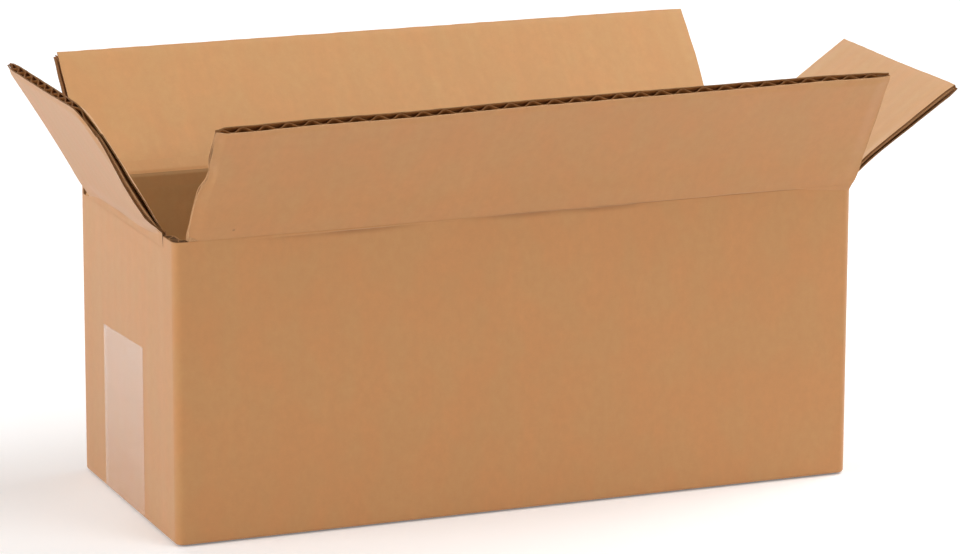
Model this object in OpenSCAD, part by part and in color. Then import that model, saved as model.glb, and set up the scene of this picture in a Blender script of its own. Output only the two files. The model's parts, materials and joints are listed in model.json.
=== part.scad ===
// Open shipping carton, taped along its bottom seam, with its four top flaps folded outwards.
// It is one sheet of single-wall corrugated board, scored, slotted, glued at one corner and folded.
// X runs along the length, -Y is the front and +Z is up. The origin is the middle of the underside.

/* [Inside of the box] */
// Clear length inside
inside_l = 254; // [200:1:400]
// Clear width inside
inside_w = 101.6; // [70:0.1:140]
// Clear height between the end flaps of the bottom and the shut end flaps of the top
inside_h = 93.6; // [60:0.1:200]

/* [Board] */
// Thickness of the corrugated board
board_t = 4; // [3:0.1:5]
// Thickness of each flat facing
liner_t = 0.45; // [0.3:0.05:0.6]
// Thickness of the wavy paper between the facings
medium_t = 0.35; // [0.25:0.05:0.5]
// Distance from one flute to the next
flute_pitch = 8.2; // [6:0.1:11]
// Width over which the wavy paper is glued to a facing at each crest
glue_w = 1.2; // [0.8:0.1:2]
// Length of flute that is crushed shut beside a crease
crush_l = 3; // [1:0.5:10]

/* [Creases and corners] */
// Outer radius of the four upright corners
corner_r = 3; // [1:0.5:4]
// Outer radius of the folds along the bottom
fold_r = 1.5; // [0.5:0.5:2.5]
// Opening left in the crease of a top flap, square to its mitre
crease_gap = 0.1; // [0.05:0.05:0.3]

/* [Flaps] */
// Gap between the two long flaps, on the bottom and on the shut top
seam_gap = 1; // [0.5:0.5:4]
// Distance from an upright corner to the left side of a long top flap, seen from outside
long_left = 5.8; // [5:0.1:10]
// Distance from an upright corner to the right side of a long top flap, seen from outside
long_right = 1.8; // [1.5:0.1:10]
// Distance from an upright corner to the left side of a top end flap, seen from outside
end_left = 7; // [5.5:0.1:15]
// Distance from an upright corner to the right side of a top end flap, seen from outside
end_right = 12; // [5.5:0.1:15]
// Distance that the side of a bottom flap stands in from the inner face of the wall beside it
slot_clear = 1.8; // [1:0.1:5]
// Clearance beside a top flap where it folds down between the corners
side_gap = 0.3; // [0.2:0.1:0.8]
// Clearance between two layers of board that lie on each other
layer_gap = 0.2; // [0.1:0.05:0.5]
// Outward lean of the front flap from upright, in degrees
front_lean = 35; // [0:1:80]
// Outward lean of the back flap from upright, in degrees
back_lean = 44; // [0:1:80]
// Outward lean of the left flap from upright, in degrees
left_lean = 31; // [0:1:80]
// Outward lean of the right flap from upright, in degrees
right_lean = 54; // [0:1:80]
// Radius of the worn free corner of the left flap
worn_r = 11; // [1:0.5:15]

/* [Glued corner] */
// Width of the glue tab, along the end wall
tab_w = 32; // [15:1:45]
// Thickness of the pressed glue tab
tab_t = 3.2; // [2:0.1:4]
// Height that each slanted end of the tab falls away
tab_slant = 7; // [2:0.5:15]
// Distance from the tab to the end flaps above and below it
tab_clear = 2; // [1:0.5:10]
// Distance that the cut end of the wall stands short of the back face at the glued corner
cut_short = 0.5; // [0.2:0.1:1]

/* [Bottom tape] */
// Width of the tape
tape_w = 46; // [24:1:75]
// Thickness of the tape
tape_t = 0.1; // [0.05:0.05:0.3]
// Height that the tape runs up each end wall
tape_up = 63; // [20:1:90]
// Distance that the tape lies off the seam, towards the back
tape_shift = 5; // [-8:0.5:8]

/* [Hidden] */
$fn = 48;
channel_steps = 6;
over = 1;
kraft_wall = [0.76, 0.58, 0.40];
kraft_flap = [0.82, 0.64, 0.46];
clear_film = [0.86, 0.80, 0.72, 0.5];

outer_l = inside_l + 2 * board_t;
outer_w = inside_w + 2 * board_t;
layer = board_t + layer_gap;
crease_h = inside_h + 4 * board_t + 2 * layer_gap;
end_crease_h = crease_h - layer;
long_flap_l = outer_l - long_left - long_right;
long_flap_d = (outer_w - seam_gap) / 2;
long_shift = (long_left - long_right) / 2;
end_flap_l = outer_w - end_left - end_right;
end_flap_d = long_flap_d + layer;
end_shift = (end_left - end_right) / 2;
slot_inset = board_t + slot_clear;
root_gap = crease_gap * sqrt(2);
wave_h = board_t / 2 - liner_t - medium_t / 2;
joint_r = min(corner_r, board_t - 1);
tab_low = board_t + layer + tab_clear;
tab_high = end_crease_h - board_t - tab_clear;

// Rectangle about the origin whose corners are rounded, apart from the glued one at +X +Y
module wall_outline() {
  difference() {
    union() {
      square([outer_l - 2 * corner_r, outer_w], center = true);
      square([outer_l, outer_w - 2 * corner_r], center = true);
      for (x = [-1, 1], y = [-1, 1])
        translate([x * (outer_l / 2 - corner_r), y * (outer_w / 2 - corner_r)])
          circle(r = corner_r);
      translate([outer_l / 2 - corner_r, outer_w / 2 - corner_r])
        square(corner_r);
    }
    glued_corner_gap();
  }
}

// Where the back wall curves in behind the cut end of the right wall
module glued_corner_gap() {
  translate([outer_l / 2 - board_t - joint_r, outer_w / 2 - joint_r])
    difference() {
      square([joint_r, joint_r + over]);
      circle(r = joint_r);
    }
  translate([outer_l / 2 - board_t - over / 2, outer_w / 2 - cut_short])
    square([board_t + over, over]);
}

// Upright rectangle whose two lower corners are rounded, standing on the height z
module tray_outline(l, h, r, z) {
  translate([-l / 2, z + r])
    square([l, h - z - r]);
  translate([r - l / 2, z])
    square([l - 2 * r, h - z]);
  for (side = [-1, 1])
    translate([side * (l / 2 - r), z + r])
      circle(r = r);
}

// Outer form of the carton, with rounded upright corners and rounded folds along the bottom
module outer_form() {
  intersection() {
    linear_extrude(crease_h)
      wall_outline();
    translate([0, outer_w / 2 + over, 0])
      rotate([90, 0, 0])
        linear_extrude(outer_w + 2 * over)
          tray_outline(outer_l, crease_h, fold_r, 0);
    translate([-outer_l / 2 - over, 0, 0])
      rotate([90, 0, 90])
        linear_extrude(outer_l + 2 * over)
          tray_outline(outer_w, crease_h, fold_r, 0);
  }
}

// Triangle above a mitred wall top, along a flap of length l at shift. The wall's outer face is at y = 0
module mitre_cut(l, shift) {
  translate([shift - l / 2 - side_gap, 0, 0])
    rotate([90, 0, 90])
      linear_extrude(l + 2 * side_gap)
        polygon([[-over, over], [0, 0], [board_t + over, -board_t - over], [board_t + over, over]]);
}

// Room for a shut long flap over the tops of the end walls
module long_flap_room() {
  translate([long_shift - long_flap_l / 2 - side_gap, -inside_w / 2, end_crease_h])
    cube([long_flap_l + 2 * side_gap, inside_w / 2, layer + over]);
}

// Room over an end wall from its left corner to the right side of its flap. Its outer face is at y = 0
module end_flap_room() {
  translate([-inside_w / 2, -over, 0])
    cube([inside_w / 2 + end_shift + end_flap_l / 2 + side_gap, board_t + 2 * over, layer + over]);
}

// The slots and mitres that let the four top flaps fold down between the corners
module top_cuts() {
  for (turn = [0, 180])
    rotate([0, 0, turn]) {
      translate([0, -outer_w / 2, crease_h])
        mitre_cut(long_flap_l, long_shift);
      long_flap_room();
      rotate([0, 0, 90])
        translate([0, -outer_l / 2, end_crease_h]) {
          mitre_cut(end_flap_l, end_shift);
          end_flap_room();
        }
    }
}

// Two long flaps that meet at the seam, on two end flaps that lie inside them
module bottom_flaps() {
  for (turn = [0, 180])
    rotate([0, 0, turn]) {
      translate([-outer_l / 2 + slot_inset, -outer_w / 2 + board_t / 2, 0])
        cube([outer_l - 2 * slot_inset, long_flap_d - board_t / 2, board_t]);
      translate([-outer_l / 2 + board_t / 2, -outer_w / 2 + slot_inset, layer])
        cube([end_flap_d - board_t / 2, outer_w - 2 * slot_inset, board_t]);
    }
}

// Tab of the back wall, folded in and glued to the inside of the right wall
module glue_tab() {
  translate([outer_l / 2 - board_t - tab_t, inside_w / 2, 0])
    rotate([90, 0, 90])
      linear_extrude(tab_t + board_t / 2)
        polygon([
          [board_t / 4, tab_low],
          [0, tab_low],
          [-tab_w, tab_low + tab_slant],
          [-tab_w, tab_high - tab_slant],
          [0, tab_high],
          [board_t / 4, tab_high]
        ]);
}

// Strip that lies flush under the bottom, turns up round both end folds and lies on the end walls
module tape_strip() {
  translate([0, tape_shift + tape_w / 2, 0])
    rotate([90, 0, 0])
      linear_extrude(tape_w)
        difference() {
          tray_outline(outer_l + 2 * tape_t, tape_up, fold_r + tape_t, 0);
          tray_outline(outer_l, tape_up + over, fold_r, tape_t);
        }
}

// Section of one channel between the wavy paper and the facing at y = board_t
module channel(pitch) {
  half = (pitch - glue_w) / 2;
  wave = [
    for (i = [0 : channel_steps])
      let (x = half * (2 * i / channel_steps - 1))
        [x, board_t / 2 + medium_t / 2 - wave_h * cos(360 * x / pitch)]
  ];
  polygon(concat(wave, [[half, board_t - liner_t], [-half, board_t - liner_t]]));
}

// Channels of a board of width l, up to the height h. The wave crosses mid-board at both sides
module channels(l, h) {
  count = round(l / flute_pitch);
  pitch = l / count;
  linear_extrude(h)
    for (i = [0 : count]) {
      translate([-l / 2 + (i - 0.25) * pitch, 0])
        channel(pitch);
      translate([-l / 2 + (i + 0.25) * pitch, board_t])
        mirror([0, 1])
          channel(pitch);
    }
}

// What is worn off the free corner of an upright flap at +X, of width l and depth d
module worn_corner(l, d) {
  translate([l / 2 - worn_r, board_t + over, d - worn_r])
    rotate([90, 0, 0])
      linear_extrude(board_t + 2 * over)
        difference() {
          square(worn_r + over);
          circle(r = worn_r);
        }
}

// Upright flap of width l at shift along a crease, its outer face at y = 0, mitred at the root and fluted
module flap(l, d, shift) {
  color(kraft_flap)
    translate([shift, 0, 0])
      difference() {
        translate([-l / 2, 0, 0])
          rotate([90, 0, 90])
            linear_extrude(l)
              polygon([[0, root_gap], [board_t, board_t + root_gap], [board_t, d], [0, d]]);
        translate([0, 0, board_t + root_gap + crush_l])
          channels(l, d);
        children();
      }
}

module carton() {
  color(kraft_wall)
    difference() {
      union() {
        difference() {
          outer_form();
          translate([-inside_l / 2, -inside_w / 2, -over])
            cube([inside_l, inside_w, crease_h + 2 * over]);
        }
        bottom_flaps();
        glue_tab();
      }
      top_cuts();
      tape_strip();
    }
}

module bottom_tape() {
  color(clear_film)
    tape_strip();
}

module front_flap() {
  translate([0, -outer_w / 2, crease_h])
    rotate([front_lean, 0, 0])
      flap(long_flap_l, long_flap_d, long_shift);
}

module back_flap() {
  translate([0, outer_w / 2, crease_h])
    rotate([back_lean, 0, 180])
      flap(long_flap_l, long_flap_d, long_shift);
}

module left_flap() {
  translate([-outer_l / 2, 0, end_crease_h])
    rotate([left_lean, 0, -90])
      flap(end_flap_l, end_flap_d, end_shift)
        worn_corner(end_flap_l, end_flap_d);
}

module right_flap() {
  translate([outer_l / 2, 0, end_crease_h])
    rotate([right_lean, 0, 90])
      flap(end_flap_l, end_flap_d, end_shift);
}

carton();
bottom_tape();
front_flap();
back_flap();
left_flap();
right_flap();
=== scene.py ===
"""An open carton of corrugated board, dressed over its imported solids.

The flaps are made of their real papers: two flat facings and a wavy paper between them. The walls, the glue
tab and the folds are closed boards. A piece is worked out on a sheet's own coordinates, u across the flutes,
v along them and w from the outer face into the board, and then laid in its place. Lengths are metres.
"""
import json
import math

import bpy
import numpy as np
from mathutils import Matrix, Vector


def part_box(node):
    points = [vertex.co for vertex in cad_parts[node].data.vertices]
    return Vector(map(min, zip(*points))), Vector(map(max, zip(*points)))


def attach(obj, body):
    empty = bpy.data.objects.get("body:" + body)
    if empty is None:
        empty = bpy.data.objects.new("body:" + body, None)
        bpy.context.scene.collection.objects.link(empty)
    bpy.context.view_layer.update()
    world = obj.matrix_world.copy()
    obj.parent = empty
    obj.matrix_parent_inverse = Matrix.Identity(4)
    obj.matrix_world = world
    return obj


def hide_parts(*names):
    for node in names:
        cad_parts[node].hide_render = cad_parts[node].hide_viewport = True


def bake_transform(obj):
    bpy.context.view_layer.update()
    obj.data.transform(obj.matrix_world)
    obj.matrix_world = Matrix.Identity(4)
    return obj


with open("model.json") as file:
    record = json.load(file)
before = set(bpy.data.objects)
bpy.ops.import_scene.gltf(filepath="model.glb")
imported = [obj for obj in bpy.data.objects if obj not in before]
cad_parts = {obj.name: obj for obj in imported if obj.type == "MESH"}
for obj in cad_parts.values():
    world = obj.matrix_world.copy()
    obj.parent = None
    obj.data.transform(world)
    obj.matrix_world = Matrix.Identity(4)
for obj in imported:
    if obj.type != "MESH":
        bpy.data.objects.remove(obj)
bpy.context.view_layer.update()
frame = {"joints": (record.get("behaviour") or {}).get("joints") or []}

MM = 0.001

# The board and the blank, as the carton was cut
BOARD = 4 * MM
LINER = 0.45 * MM
MEDIUM = 0.35 * MM
FLUTE = 8.2 * MM
LAYER = 4.2 * MM
LONG_LEFT = 5.8 * MM
LONG_RIGHT = 1.8 * MM
END_LEFT = 7 * MM
END_RIGHT = 12 * MM
BOTTOM_INSET = 5.8 * MM
SIDE_GAP = 0.3 * MM
SEAM_GAP = 1 * MM
ROOT_GAP = 0.06 * MM
CORNER_R = 3 * MM
INNER_CORNER_R = 0.6 * MM
FOLD_R = 1.5 * MM
CUT_SHORT = 0.5 * MM
TAB_WIDTH = 32 * MM
TAB_THICK = 3.2 * MM
TAB_SLANT = 7 * MM
TAB_CLEAR = 2 * MM
WORN_R = 11 * MM
WAVE = BOARD / 2 - LINER - MEDIUM / 2

# The tape: its width and thickness, how far it comes up each end wall, how far off the middle it lies, the
# slant of its ends and the depth of their teeth
TAPE_WIDTH = 46 * MM
TAPE_THICK = 0.1 * MM
TAPE_UP = 63 * MM
TAPE_SHIFT = 5 * MM
TAPE_SLANT = -0.045
TOOTH = 0.35 * MM

# How far the paper sinks between its glue lines outside and inside, how deep its slow dents are, and about
# how long they are in a flap and on a wall's outer and inner face
WASHBOARD = 0.018 * MM
INNER_WASHBOARD = 0.035 * MM
DENT = 0.25 * MM
FLAP_DENTS = 75 * MM
WALL_DENTS = 80 * MM
INNER_DENTS = 60 * MM

# A crease outside: how far its dip reaches up and down, and the depth at which its painted shade is darkest.
# Inside: its groove's depth and reach. Within: how far out from the hinge the pressed board starts, as a share
# of the way to the inner side, and how much further in where the crease is deep
CREASE_OVERHANG = 0.3 * MM
CREASE_RUN_OUT = 1.3 * MM
CREASE_FULL = 0.6 * MM
GROOVE = 0.3 * MM
GROOVE_REACH = 0.8 * MM
FOLD_TIP = 0.03
FOLD_TIP_SUNK = 0.15

# How far in from a cut edge the papers are pressed together, and the gap they keep. How far in the raw paper
# is pale, partly its own tone and partly painted light. How far a flap's free edge and its sides wander, and in
# waves of what length. The bands beside an edge, a crease, a flap's root and a wall's corners
FREE_REACH = 3 * MM
SIDE_REACH = 4.5 * MM
PRESSED_GAP = 0.02 * MM
PALE_AND_LIT_REACH = 3.5 * MM
FREE_WANDER = 0.3 * MM
FREE_WAVES = 9 * MM
SIDE_WANDER = 0.25 * MM
SIDE_WAVES = 7 * MM
EDGE_BAND = 6 * MM
CREASE_BAND = 5 * MM
ROOT_BAND = 12 * MM
PANEL_BAND = 9 * MM

# Steps across one flute in a flat paper and in the wavy one
FLAT_STEPS = 4
WAVY_STEPS = 12

# Each top flap's outward lean from upright in degrees, its way outwards, and how far it bows in millimetres
LEAN = {"front_flap": 35.0, "back_flap": 44.0, "left_flap": 31.0, "right_flap": 54.0}
OUTWARD = {"front_flap": (0, -1, 0), "back_flap": (0, 1, 0), "left_flap": (-1, 0, 0), "right_flap": (1, 0, 0)}
BOW = {"front_flap": 0.9, "back_flap": -0.6, "left_flap": 0.5, "right_flap": 0.7}
LONG_FLAPS = ("front_flap", "back_flap")

# The cut sides of each flap, left then right as seen from outside. A row is a height as a share of the
# flap's depth, how far the outer and the inner paper are pressed towards the middle there, how many
# millimetres the side is drawn in, and how many the inner paper stands out past the outer one
CUT_SIDES = {
    "front_flap": (((0, 0.9, 0.9, 0, 0), (0.1, 1, 1, -0.7, 0), (0.26, 1, 1, -0.6, 0),
                    (0.44, 1, 1, -0.2, 0.2), (0.53, 1, 1, 1.7, 0.2), (0.6, 1, 1, 2.2, 0.2),
                    (0.68, 1, 1, 1.2, 0.2), (0.72, 0.6, 0.6, 1, 0.2), (0.84, 0.6, 0.6, 0.8, 0.2),
                    (0.88, 1, 1, 0.6, 0.2), (1, 0.9, 0.9, 0.3, 0)),
                   ((0, 0, 0.9, -0.6, 0), (0.06, 0.1, 0.8, -1.4, 0.3), (0.12, 0.5, 0.8, -2.2, 1),
                    (0.28, 0.75, 0.75, -2.4, 1.7), (0.62, 0.7, 0.7, -2.0, 1.7), (0.88, 0.7, 0.7, -1.7, 1),
                    (1, 0.7, 0.7, -1.5, 0))),
    "back_flap": (((0, 0.9, 0.9, 0, 0), (0.12, 0.4, 0.4, 0, 0), (0.4, 0.2, 0.2, -1, 0),
                   (0.6, 0.2, 0.2, -1.7, 0), (1, 0.35, 0.35, -1.7, 0)),
                  ((0, 0.9, 0.9, 0, 0), (0.15, 0.1, 0.1, 0, -0.4), (0.6, 0, 0, 0, -0.7),
                   (1, 0.1, 0.1, 0, -0.6))),
    "left_flap": (((0, 0.9, 0.9, 0, 0), (0.15, 0.6, 0.6, 0, 0), (0.8, 0.6, 0.6, 0.1, 0),
                   (1, 0.9, 0.9, 0.3, 0)),
                  ((0, 0, 0.5, -0.25, 0), (0.07, 0.1, 0.5, -0.25, 0), (0.12, 0, 0.5, 0, 0),
                   (0.2, -0.1, 0.62, 0, 0), (0.34, -0.4, 0.62, 0, 0), (0.46, -0.4, 0.85, 0, 0),
                   (0.58, 0, 0.65, 0, 0), (0.72, 0.5, 0.6, -0.2, 0), (0.8, 0.7, 0.6, -0.2, 0),
                   (1, 0.7, 0.6, -0.2, 0))),
    "right_flap": (((0, 1.5, -0.1, 0, 0), (0.08, 1.7, -0.4, 0, 0), (0.28, 1.6, -0.5, 0, 0),
                    (0.6, 1, -0.1, -0.2, 0), (0.93, 0.7, 0.1, 0, 0), (1, 1, 0.4, 0, 0)),
                   ((0, 0.9, 0.6, 0, 0), (0.2, 0.8, 0.1, -1.2, 0), (0.6, 0.8, 0.1, -2.4, 0),
                    (1, 0.8, 0.1, -1.4, 0))),
}
PLAIN_SIDES = 2 * (((0, 0.7, 0.7, 0, 0), (1, 0.5, 0.5, 0, 0)),)

# The free edge of a flap, from its left to its right as seen from outside. A row is a share of the flap's
# length, how many millimetres the edge reaches further there, how many it is bent inwards, and how far the
# papers are pressed together
FREE_EDGES = {
    "front_flap": ((0, -0.9, 0, 0.2), (0.06, -0.7, 0, 0.2), (0.14, 0, 0, 0.2),
                   (0.29, 0, 0, 0.2), (0.45, 0.5, 0.5, 0.2), (0.75, 0.6, 1, 0.2),
                   (0.9, 0.7, 1.3, 0.3), (1, 0.6, 1, 0.4)),
    "left_flap": ((0, 0, 0, 0.7), (0.1, 0, 0, 0.3), (0.6, 0, 0, 0.3), (0.85, 0, 0, 0.5),
                  (1, 0, 0, 0.65)),
    "right_flap": ((0, 0, 0, 0.15), (0.5, 0, 0.2, 0.1), (1, 0.4, 1, 0.15)),
}
PLAIN_EDGE = ((0, 0, 0, 0.16), (1, 0, 0, 0.16))

# The creased line outside each flap. A row is a place along the crease from its middle, to the right as seen
# from outside, the line's height above the hinge there and its depth, all in millimetres
CREASES = {
    "front_flap": ((-126, -0.5, 0.05), (-104, -0.8, 0.1), (-92, -1, 0.3), (-76, -0.9, 0.35),
                   (-66, -0.85, 0.6), (-52, -0.8, 0.5), (-38, -0.7, 0.15), (-20, -0.5, 0.2),
                   (-8, -0.3, 0.45), (4, -0.25, 0.6), (16, -0.3, 0.35), (28, -0.35, 0.6), (40, -0.3, 0.45),
                   (54, 0, 0.15), (70, 0.2, 0.1), (86, 0.4, 0.2), (104, 0.2, 0.12), (130, 0, 0)),
    "back_flap": ((-130, 0.2, 0.1), (-80, -0.5, 0.35), (-20, 0.3, 0.15), (40, -0.4, 0.4), (90, 0.1, 0.2),
                  (126, 0, 0.1)),
    "left_flap": ((-48, 0.2, 0), (-38, 1.4, 0.1), (-26, 2.1, 0.28), (-14, 2.3, 0.15), (-4, 2.3, 0.4),
                  (4, 2.1, 0.15), (16, 1.9, 0.12), (24, 2.3, 0.3), (32, 2.8, 0.1), (43, 3.8, 0)),
    "right_flap": ((-43, 0.3, 0.05), (-20, -0.3, 0.15), (10, 0.3, 0.08), (48, 0, 0.12)),
}

# How far above its hinge the left flap's outer facing bends, as a share of the flap's length and a height
# in millimetres, and how far up the flap that dies out
RAISED_FOLD = ((0, 0), (0.18, 1.9), (0.8, 1.9), (0.93, 3.0), (1, 3.9))
RAISED_UP = 9 * MM

# The crushed end of the front crease, which folds lower: its length, how far down it folds, how far that
# lifts the flap's outer facing at the crease, how far up the flap the lift dies out, how softly it starts,
# how far its own piece reaches up the flap, and how far proud of the board and how deep in it that starts
CRUSHED_LENGTH = 24 * MM
CRUSHED_DOWN = 2 * MM
CRUSHED_LIFT = CRUSHED_DOWN * math.sin(math.radians(LEAN["front_flap"]))
CRUSHED_UP = 32 * MM
CRUSHED_START = 0.15
CRUSHED_ROOT = 1.2 * MM
CRUSHED_PROUD = 0.03 * MM
CRUSHED_SUNK = 0.5 * MM

# The camera, fitted to the corners of the box in the photograph
IMAGE_WIDTH = 960
SENSOR = 36.0
FOCAL_PIXELS = 4666.6
CAMERA_AZIMUTH = -21.95
CAMERA_ELEVATION = 13.602
CAMERA_ROLL = 0.181
CAMERA_DISTANCE = 1.7269
CAMERA_TARGET = (0.00582, 0.0, 0.07375)

# The soft lamps round the box: place, size and watts. They all aim at its middle
LAMP_AIM = (0, 0, 0.08)
LAMPS = {
    "left_box": ((-1.9, -0.1, 0.7), 1.2, 23.5),
    "right_box": ((1.7, 0.1, 1.3), 1.2, 14),
    "front_box": ((1.2, -1.6, 0.85), 1.4, 8.8),
    "low_front": ((0.5, -1.8, 0.15), 1.0, 6.5),
    "top_right": ((0.9, 0.2, 1.7), 1.0, 10),
    "top_front": ((0.5, -0.8, 1.9), 1.2, 8.5),
    "back_box": ((-0.4, 1.8, 1.2), 1.2, 10),
}

# The light of the surround, the floor's glow for the camera, and its half width and height
FILL_LIGHT = 0.2
FLOOR_LIFT = 0.16
FLOOR_HALF = 3.0
FLOOR_Z = -0.4 * MM

carton_low, carton_high = (np.array(corner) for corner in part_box("carton"))
OUTER_L = carton_high[0] - carton_low[0]
OUTER_W = carton_high[1] - carton_low[1]
CREASE_H = carton_high[2]
END_CREASE_H = CREASE_H - LAYER
HINGE = {joint["child"]: np.array(joint["pos_m"]) for joint in frame["joints"]}
LONG_L = OUTER_L - LONG_LEFT - LONG_RIGHT
LONG_SHIFT = (LONG_LEFT - LONG_RIGHT) / 2
LONG_D = (OUTER_W - SEAM_GAP) / 2
END_L = OUTER_W - END_LEFT - END_RIGHT
END_SHIFT = (END_LEFT - END_RIGHT) / 2
END_D = LONG_D + LAYER
TAPE_LENGTH = 2 * (TAPE_UP - FOLD_R) + math.pi * FOLD_R + OUTER_L - 2 * FOLD_R

SHARP_ANGLE = math.radians(40)

KRAFT_FACE, KRAFT_INSIDE, CUT_PAPER, FLUTE_PAPER_SHADED, CUT_BOARD, CUT_BROWN, KRAFT_WELL_SHADED = range(7)


# Shapes on the sheet

def ripple(a, b, seed, length):
    """Slow, smooth unevenness between 0 and 1: the mean of seven sine waves of about the given length,
    each running its own way over (a, b) with its own phase."""
    draw = np.random.default_rng(seed)
    total = np.zeros(np.broadcast(a, b).shape)
    for _ in range(7):
        way = draw.uniform(0, 2 * math.pi)
        size = length * draw.uniform(0.6, 1.7)
        phase = draw.uniform(0, 2 * math.pi)
        total += np.sin(2 * math.pi * (a * math.cos(way) + b * math.sin(way)) / size + phase)
    return 0.5 + total / 14


def ease(distance, reach):
    """0 at a distance of 0, rising smoothly to 1 at the reach and past it."""
    t = np.clip(distance / reach, 0, 1)
    return t * t * (3 - 2 * t)


def valley(distance, reach):
    """A groove's section: 1 in the middle, falling away as a bell curve."""
    return np.exp(-(distance / reach) ** 2)


def crease_line(name, u, above):
    """How far the outer facing is sunk at a flap's crease: a bell curve over the height above the hinge,
    steep on its upper side and running out slowly below, with the middle and depth of the table at u."""
    where, height, depth = np.array(CREASES[name]).T * MM
    past = above - np.interp(u, where, height)
    return np.interp(u, where, depth) * valley(past, np.where(past > 0, CREASE_OVERHANG, CREASE_RUN_OUT))


def rows(*stretches):
    """Ascending numbers: each stretch is (start, end, steps), and they are joined end to end."""
    return np.unique(np.concatenate([np.linspace(a, b, n + 1) for a, b, n in stretches]).round(7))


def shell(face, back, u, v, thickness, looks=(KRAFT_FACE, KRAFT_INSIDE, CUT_PAPER), pale_and_lit_from=None,
          folded=None, creased=None):
    """A closed sheet from two grids of points of one size, face and back, and a rim that joins their edges.
    The face and back are mapped by (u, v), and the rim by (u, depth). Beyond a given lowest and highest u,
    and up to a given v, the given kinds of raw paper are pale, partly their own tone and partly painted light.
    The rim along a given v is folded paper and not cut, and looks like the face. The face's points keep how
    deeply they are creased, from 0 to 1, which sets the painted shade along the crease."""
    n, m = face.shape[:2]
    index = np.arange(n * m).reshape(n, m)
    quads = np.stack([index[:-1, :-1], index[:-1, 1:], index[1:, 1:], index[1:, :-1]], -1).reshape(-1, 4)
    ring = np.concatenate([index[0, :-1], index[:-1, -1], index[-1, :0:-1], index[:0:-1, 0]])
    after = np.roll(ring, -1)
    points = np.concatenate([face.reshape(-1, 3), back.reshape(-1, 3)])
    rim = np.stack([after, ring, ring + n * m, after + n * m], -1)
    faces = np.concatenate([quads, quads[:, ::-1] + n * m, rim])
    flat = np.tile(np.stack([u.ravel(), v.ravel()], -1), (2, 1))
    mapping = flat[faces]
    mapping[2 * len(quads):, :, 1] = np.where(rim < n * m, 0.0, thickness)
    look = np.repeat(looks, [len(quads), len(quads), len(rim)])
    if pale_and_lit_from is not None:
        low, high, top, kinds = pale_and_lit_from
        across, up = flat[faces].mean(1).T
        raw = np.isin(look, kinds) & (up < top)
        look = np.where(raw & ((across < low) | (across > high)), CUT_PAPER, look)
    if folded is not None:
        along_fold = np.abs(flat[rim][..., 1] - folded).max(1) < 1e-6
        look[2 * len(quads):][along_fold] = looks[0]
    first, second, third, fourth = np.moveaxis(points[faces] - points.mean(0), 1, 0)
    volume = np.sum(first * (np.cross(second, third) + np.cross(third, fourth)))
    if volume < 0:
        faces = faces[:, ::-1]
        mapping = mapping[:, ::-1]
    share = np.zeros(2 * n * m)
    if creased is not None:
        share[:n * m] = np.clip(creased / CREASE_FULL, 0, 1).ravel()
    return points, faces, mapping, look, share


def added(name, data):
    """A new object in the scene."""
    obj = bpy.data.objects.new(name, data)
    bpy.context.scene.collection.objects.link(obj)
    return obj


def piece(name, shells, materials=None):
    """One mesh object from several shells, its points in the row frame, in the board's looks or its own."""
    points, faces, mapping, look, creased = zip(*shells)
    starts = np.cumsum([0] + [len(sheet) for sheet in points[:-1]])
    faces = [sheet + start for sheet, start in zip(faces, starts)]
    points, faces, mapping, look, creased = map(np.concatenate, (points, faces, mapping, look, creased))
    mesh = bpy.data.meshes.new(name)
    mesh.from_pydata(points.tolist(), [], faces.tolist())
    layer = mesh.uv_layers.new(name="sheet")
    layer.data.foreach_set("uv", mapping.astype(np.float32).ravel())
    # The creased share, which sets the painted shade along the creases
    mesh.attributes.new("creased", "FLOAT", "POINT").data.foreach_set("value", creased.astype(np.float32))
    for material in materials or BOARD_LOOKS:
        mesh.materials.append(material)
    mesh.polygons.foreach_set("material_index", look.astype(np.int32))
    mesh.polygons.foreach_set("use_smooth", np.full(len(faces), True))
    mesh.set_sharp_from_angle(angle=SHARP_ANGLE)
    mesh.update()
    return added(name, mesh)


def placed(place, u, v, w):
    """The point of the sheet (u, v, w) in the row frame."""
    origin, along, up, inward = place
    return origin + u[..., None] * along + v[..., None] * up + w[..., None] * inward


def flap_place(name):
    """Origin on the hinge line, u along the crease, v up the flap, w into the board from its outer face."""
    lean = math.radians(LEAN[name])
    outward = np.array(OUTWARD[name], float)
    upright = np.array([0.0, 0.0, 1.0])
    along = np.cross(upright, outward)
    up = math.sin(lean) * outward + math.cos(lean) * upright
    inward = math.sin(lean) * upright - math.cos(lean) * outward
    return HINGE[name], along, up, inward


def flap_span(name):
    """The u of a top flap's left and right side, seen from outside."""
    length, shift = (LONG_L, LONG_SHIFT) if name in LONG_FLAPS else (END_L, END_SHIFT)
    return shift - length / 2, shift + length / 2


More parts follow.
